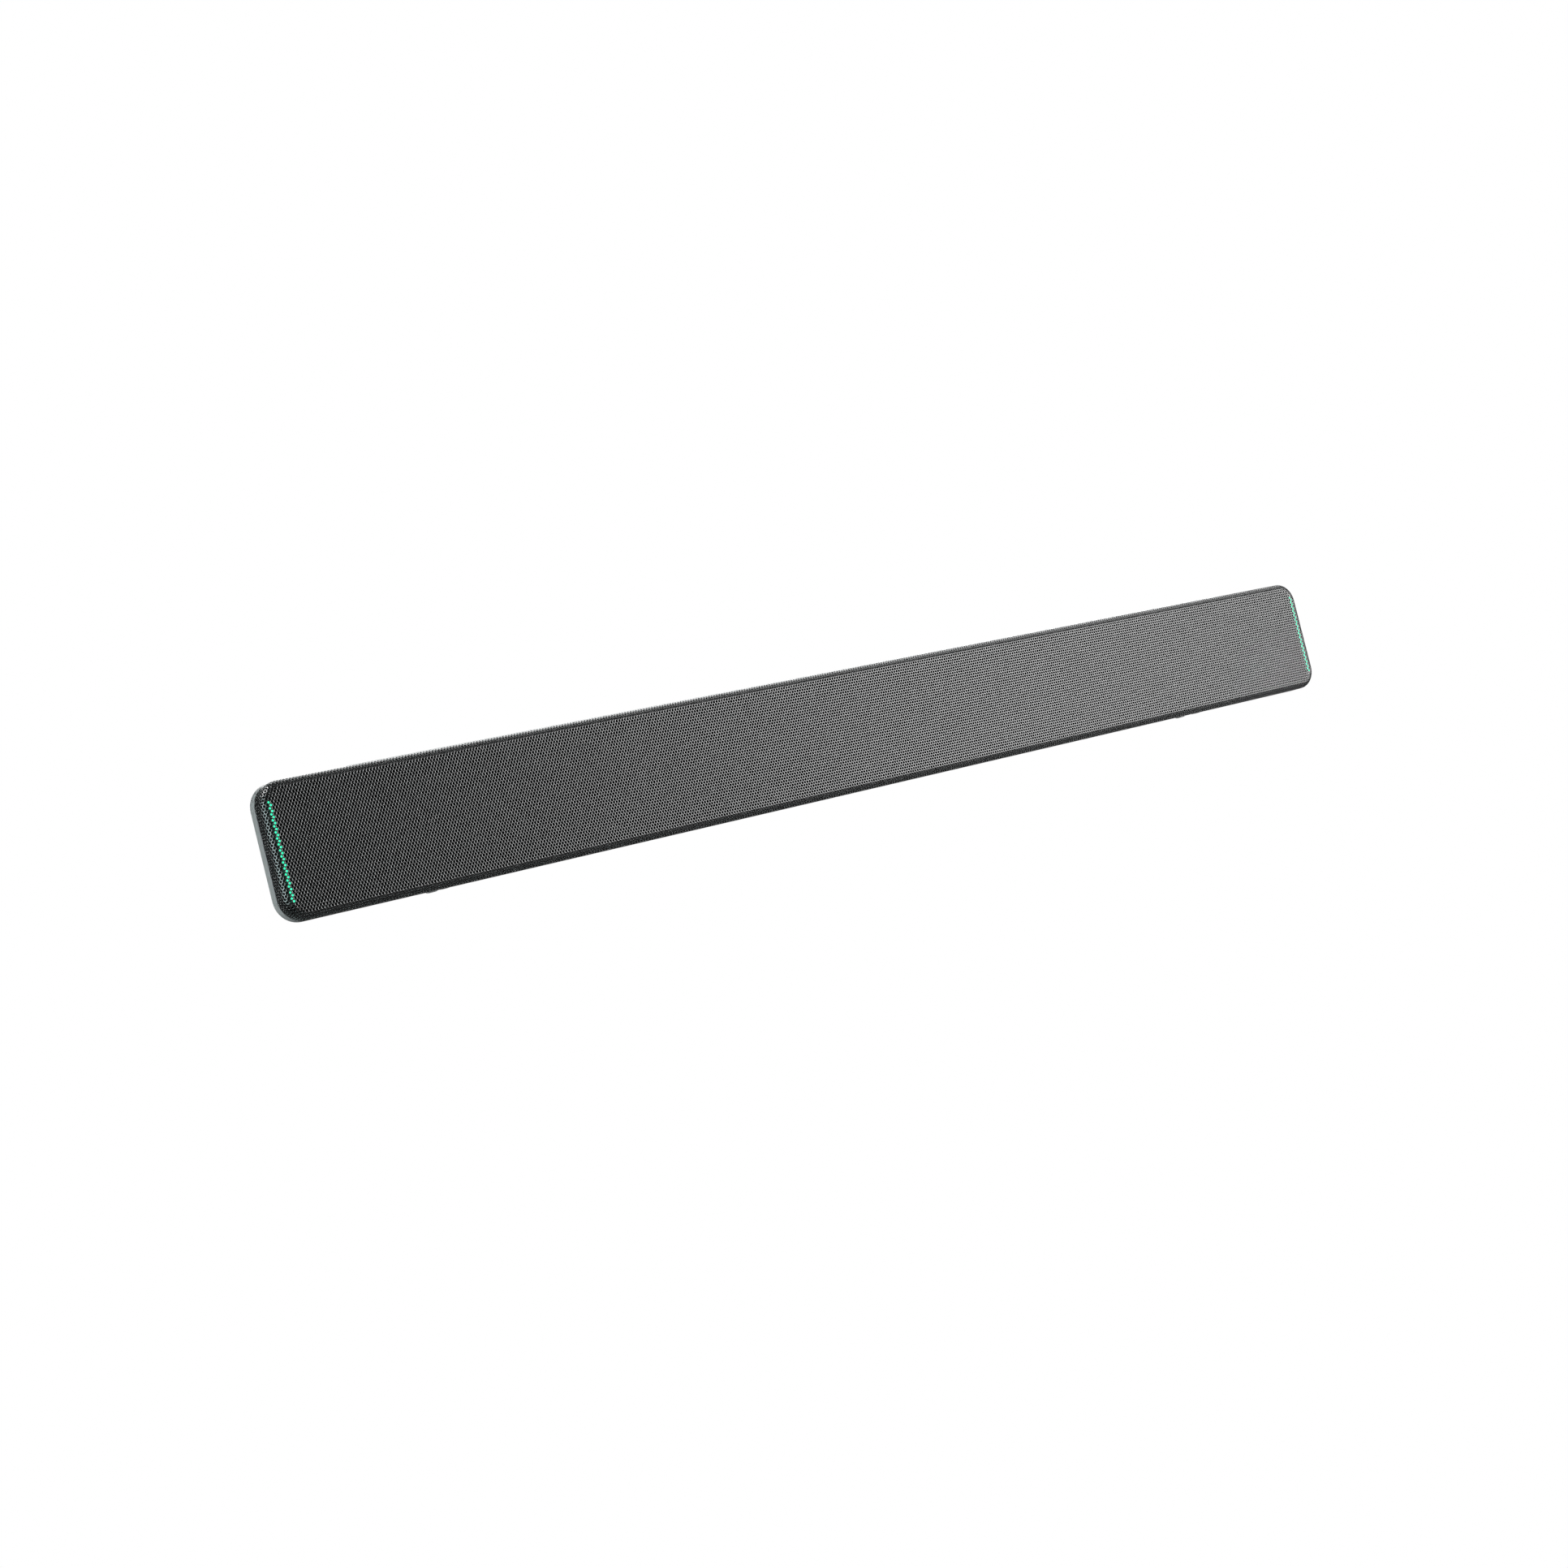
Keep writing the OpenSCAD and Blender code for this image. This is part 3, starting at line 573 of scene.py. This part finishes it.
def cloth_sheet():
    """Cloth stretched behind the grille, with round corners and a slight unevenness."""
    low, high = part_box("acoustic_cloth")
    half_w, half_h = (high.x - low.x) / 2, (high.z - low.z) / 2
    columns, rows = 420, 36
    round_r = 5 * MM
    sag_depth = 0.12 * MM
    before_middle = 0.15 * MM
    mesh = bpy.data.meshes.new("stretched_cloth")
    points = []
    for j in range(rows + 1):
        for i in range(columns + 1):
            x = (2 * i / columns - 1) * half_w
            z = (2 * j / rows - 1) * half_h
            in_x, in_z = half_w - round_r, half_h - round_r
            if abs(x) > in_x and abs(z) > in_z:
                dx, dz = abs(x) - in_x, abs(z) - in_z
                pull = max(dx, dz) / math.hypot(dx, dz)
                x = math.copysign(in_x + dx * pull, x)
                z = math.copysign(in_z + dz * pull, z)
            sag = sag_depth * (math.sin(x * 90) * math.cos(z * 110) + 1)
            points.append((x, (low.y + high.y) / 2 - before_middle + sag, FACE_MID + z))
    width = columns + 1
    faces = [
        (j * width + i, j * width + i + 1, (j + 1) * width + i + 1, (j + 1) * width + i)
        for j in range(rows)
        for i in range(columns)
    ]
    mesh.from_pydata(points, [], faces)
    piece = link_mesh("stretched_cloth", mesh)
    thick = piece.modifiers.new("thickness", "SOLIDIFY")
    thick.thickness = 0.3 * MM
    thick.offset = 0
    return piece, (2 * half_w, 2 * half_h)


cloth, cloth_flat = cloth_sheet()
finish_piece(cloth, "cloth", "bar")
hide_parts("acoustic_cloth")


# ---------- light guides ----------


def peg_rings(length):
    """A peg with a domed tip. Its profile gives shares of its radius and its length."""
    profile = [(0.5, 0), (0.85, 0.06), (1, 0.2), (1, 1)]
    return [(circle(share * PEG_R, 12), depth * length) for share, depth in profile]


def light_guide(node, even_x, odd_x):
    """A light pipe with softened edges, and a peg that stands in one hole of each row."""
    low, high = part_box(node)
    bm = bmesh.new()
    bmesh.ops.create_cube(bm, size=1)
    middle, extent = (low + high) / 2, high - low
    for vertex in bm.verts:
        vertex.co = Vector(c * e for c, e in zip(vertex.co, extent)) + middle
    front = [e for e in bm.edges if all(v.co.y < middle.y for v in e.verts)]
    bmesh.ops.bevel(bm, geom=front, offset=0.5 * MM, segments=4, affect="EDGES", profile=0.5)
    tip_y = FRONT_Y + PEG_INSET
    peg = peg_rings(low.y + PEG_ROOT - tip_y)
    rows = round(extent.z / 2 / ROW_PITCH)
    for row in range(-rows, rows):
        x = odd_x if row % 2 else even_x
        spot = (x, tip_y, FACE_MID + (row + 0.5) * ROW_PITCH)
        add_rings(bm, peg, Matrix.Translation(spot) @ TO_BACK)
    mesh = bpy.data.meshes.new("lit_" + node)
    bm.to_mesh(mesh)
    bm.free()
    piece = finish_piece(link_mesh("lit_" + node, mesh), "light_guide", "bar")
    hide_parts(node)


light_guide("led_light_guide_left", *LEFT_LIGHT_X)
light_guide("led_light_guide_right", *RIGHT_LIGHT_X)


# ---------- screws, feet and buttons ----------


def screw_rings(head_r, head_h, shank_r, length):
    """A pan-head screw with a six-lobed recess; its head's seat is at height 0."""
    lobe = head_r * 0.5
    return [
        (circle(shank_r * 0.5), -length),
        (circle(shank_r), -length + 1 * MM),
        (circle(shank_r), 0),
        (circle(head_r), 0),
        (circle(head_r), head_h * 0.45),
        (circle(head_r * 0.95), head_h * 0.72),
        (circle(head_r * 0.84), head_h * 0.9),
        (circle(head_r * 0.68), head_h),
        (star(lobe, lobe * 0.16), head_h),
        (star(lobe * 0.94, lobe * 0.16), head_h * 0.3),
        (circle(lobe * 0.3), head_h * 0.18),
    ]


rear_screw = screw_rings(
    head_r=3.6 * MM, head_h=1.2 * MM, shank_r=SCREW_SHANK_R, length=18 * MM
)
rear_seat = BACK_Y - SEAT_DEPTH
rear_places = [
    (x, rear_seat, REAR_MID + up * REAR_SCREW_DZ) for x in REAR_SCREW_X for up in (-1, 1)
]
rear_screws = ring_piece(
    "rear_screw_set",
    [(rear_screw, Matrix.Translation(spot) @ TO_BACK) for spot in rear_places],
    "screw_steel",
    "bar",
)
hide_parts("rear_screws")

end_screw = screw_rings(head_r=3.4 * MM, head_h=1.4 * MM, shank_r=SCREW_SHANK_R, length=7 * MM)
end_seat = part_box("end_screws")[1].y - SEAT_DEPTH
end_x = GRILLE_HIGH.x - END_SCREW_INSET
end_places = [
    (side * end_x, end_seat, FACE_MID + up * END_SCREW_DZ) for side in (-1, 1) for up in (-1, 1)
]
end_screws = ring_piece(
    "end_screw_set",
    [(end_screw, Matrix.Translation(spot) @ TO_BACK) for spot in end_places],
    "screw_steel",
    "bar",
)
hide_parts("end_screws")

foot = [
    (circle(FOOT_R * 0.5), 0),
    (circle(FOOT_R * 0.72), 0.12 * MM),
    (circle(FOOT_R * 0.88), 0.45 * MM),
    (circle(FOOT_R * 0.97), 0.9 * MM),
    (circle(FOOT_R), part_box("rubber_feet")[1].z),
]
foot_places = [(side * FOOT_X, FRONT_Y + depth, 0) for side in (-1, 1) for depth in FOOT_DEPTHS]
feet = ring_piece(
    "rubber_foot_set",
    [(foot, Matrix.Translation(spot)) for spot in foot_places],
    "silicone_clear",
    "bar",
)
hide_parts("rubber_feet")


def stroke(bm, points, width, base, height):
    """Raises a line of the given width between points, on top of a button."""
    for (x0, y0), (x1, y1) in zip(points, points[1:]):
        run = Vector((x1 - x0, y1 - y0, 0))
        across = Vector((-run.y, run.x, 0)).normalized() * width / 2
        ends = [Vector((x0, y0, 0)), Vector((x1, y1, 0))]
        corners = [ends[0] - across, ends[1] - across, ends[1] + across, ends[0] + across]
        low = [bm.verts.new(c + base) for c in corners]
        high = [bm.verts.new(c + base + Vector((0, 0, height))) for c in corners]
        bm.faces.new(high)
        bm.faces.new(list(reversed(low)))
        for k in range(4):
            n = (k + 1) % 4
            bm.faces.new([low[k], low[n], high[n], high[k]])


def arc(radius, start, end, count=18):
    """Points along an arc between two angles in degrees."""
    angles = [math.radians(start + (end - start) * k / count) for k in range(count + 1)]
    return [(radius * math.cos(a), radius * math.sin(a)) for a in angles]


ICONS = {
    "power_button": [arc(2.1 * MM, 125, 415), [(0, 0.9 * MM), (0, 2.7 * MM)]],
    "source_button": [
        [(-0.4 * MM, 2 * MM), (2.4 * MM, 2 * MM), (2.4 * MM, -2 * MM), (-0.4 * MM, -2 * MM)],
        [(-2.6 * MM, 0), (0.9 * MM, 0)],
        [(-0.1 * MM, 0.9 * MM), (0.9 * MM, 0), (-0.1 * MM, -0.9 * MM)],
    ],
    "volume_down_button": [[(-2 * MM, 0), (2 * MM, 0)]],
    "volume_up_button": [[(-2 * MM, 0), (2 * MM, 0)], [(0, -2 * MM), (0, 2 * MM)]],
}

for node, lines in ICONS.items():
    low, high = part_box(node)
    cad = frame["nodes"][node]
    soften = cad.modifiers.new("soft_rim", "BEVEL")
    soften.width = 0.35 * MM
    soften.segments = 3
    soften.limit_method = "ANGLE"
    soften.angle_limit = math.radians(50)
    bm = bmesh.new()
    middle = Vector(((low.x + high.x) / 2, (low.y + high.y) / 2, high.z - ICON_SUNK))
    for points in lines:
        stroke(bm, points, ICON_LINE_W, middle, ICON_LINE_H)
    mesh = bpy.data.meshes.new(node + "_icon")
    bm.to_mesh(mesh)
    bm.free()
    finish_piece(link_mesh(node + "_icon", mesh), "button_plastic", node + "_body", ICON_PAINT)


# ---------- materials of the CAD parts that show as they are ----------

slot_of = {part["node"]: part["material_slot"] for part in frame["record"]["subparts"]}
for node, cad in frame["nodes"].items():
    cad.data.materials.clear()
    cad.data.materials.append(MATERIALS[slot_of[node]])


# ---------- studio ----------


def aim(thing, target):
    thing.rotation_mode = "QUATERNION"
    thing.rotation_quaternion = (Vector(target) - thing.location).to_track_quat("-Z", "Y")


def soft_light(name, location, target, width, height, power, colour=(1, 1, 1), diffuse=True):
    """A rectangular soft box. With diffuse off it adds gloss only."""
    data = bpy.data.lights.new(name, "AREA")
    data.shape = "RECTANGLE"
    data.size, data.size_y = width, height
    data.energy = power
    data.color = colour
    light = bpy.data.objects.new(name, data)
    light.location = location
    light.visible_diffuse = diffuse
    bpy.context.scene.collection.objects.link(light)
    aim(light, target)


def white_room():
    """Plain white round the object for the camera, and a dim studio for everything else."""
    world = bpy.data.worlds.new("studio")
    bpy.context.scene.world = world
    world.use_nodes = True
    tree = world.node_tree
    tree.nodes.clear()
    seen = add(tree, "ShaderNodeBackground", {"Color": (1, 1, 1, 1), "Strength": 1.0})
    dim = add(tree, "ShaderNodeBackground", {"Color": (1, 1, 1, 1), "Strength": ROOM_GLOW})
    path = add(tree, "ShaderNodeLightPath")
    both = add(tree, "ShaderNodeMixShader", {0: path.outputs["Is Camera Ray"]})
    tree.links.new(dim.outputs[0], both.inputs[1])
    tree.links.new(seen.outputs[0], both.inputs[2])
    out = add(tree, "ShaderNodeOutputWorld")
    tree.links.new(both.outputs[0], out.inputs["Surface"])


def floor():
    """A wide pale floor well under the bar, white to the camera."""
    mesh = bpy.data.meshes.new("floor")
    half, level = FLOOR_HALF_WIDTH, FLOOR_LEVEL
    mesh.from_pydata(
        [(-half, -half, level), (half, -half, level), (half, half, level), (-half, half, level)],
        [],
        [(0, 1, 2, 3)],
    )
    made = bpy.data.materials.new("floor_white")
    made.use_nodes = True
    tree = made.node_tree
    tree.nodes.clear()
    glow = add(tree, "ShaderNodeEmission", {"Color": (1, 1, 1, 1), "Strength": 1.0})
    pale = add(tree, "ShaderNodeBsdfDiffuse", {"Color": (FLOOR_SHADE, FLOOR_SHADE, FLOOR_SHADE, 1)})
    path = add(tree, "ShaderNodeLightPath")
    both = add(tree, "ShaderNodeMixShader", {0: path.outputs["Is Camera Ray"]})
    tree.links.new(pale.outputs[0], both.inputs[1])
    tree.links.new(glow.outputs[0], both.inputs[2])
    out = add(tree, "ShaderNodeOutputMaterial")
    tree.links.new(both.outputs[0], out.inputs["Surface"])
    mesh.materials.append(made)
    link_mesh("floor", mesh)


def camera():
    """The photo's viewing angle: from the front left, a little below the bar."""
    data = bpy.data.cameras.new("camera")
    data.sensor_width = 36
    data.lens = LENS
    data.clip_end = 60
    made = bpy.data.objects.new("camera", data)
    bpy.context.scene.collection.objects.link(made)
    right, up = Vector(CAMERA_RIGHT), Vector(CAMERA_UP)
    turn = Matrix((right, up, right.cross(up))).transposed()
    made.matrix_world = Matrix.Translation(CAMERA_AT) @ turn.to_4x4()
    bpy.context.scene.camera = made


white_room()
floor()
camera()

# The key light stands at the right and fades out towards the middle: (x, width, power)
key_strips = [(0.42, 0.36, 0.4), (0.78, 0.36, 5), (1.12, 0.36, 22), (1.9, 1.2, 100)]
for number, (x, width, power) in enumerate(key_strips):
    soft_light(f"key_{number + 1}", (x, -1.6, 0.2), (x - 1.1, -0.05, 0.05), width, 1.3, power)

# Soft boxes and glints: the left end stays darkest and coolest, and the back gets its own box
cool, cooler = (0.88, 1.0, 1.0), (0.75, 1.0, 1.0)
left_end = (-0.3, -0.03, 0.2)
soft_light("top_box", (1.0, 0.75, 1.5), (0.1, 0, 0.1), 3.0, 1.8, 20)
soft_light("left_box", (-1.75, -0.65, 0.2), left_end, 0.9, 0.6, 12.7, cool)
soft_light("left_glint", (-1.7, -0.62, 0.2), left_end, 0.8, 0.6, 26.7, cooler, diffuse=False)
soft_light("left_top", (-1.28, -0.04, 1.35), (-0.53, -0.04, 0.08), 0.6, 0.6, 70, diffuse=False)
soft_light("top_glint", (1.0, 0.6, 1.5), (0.1, 0, 0.1), 3.0, 1.4, 45, diffuse=False)
soft_light("left_fill", (-2.2, 0.6, 0.15), (-0.5, 0.0, 0.05), 0.9, 0.9, 4)
soft_light("back_box", (0.9, 2.3, 0.9), (0, 0.05, 0.05), 1.6, 1.0, 15)
bpy.context.scene.view_settings.view_transform = "Standard"
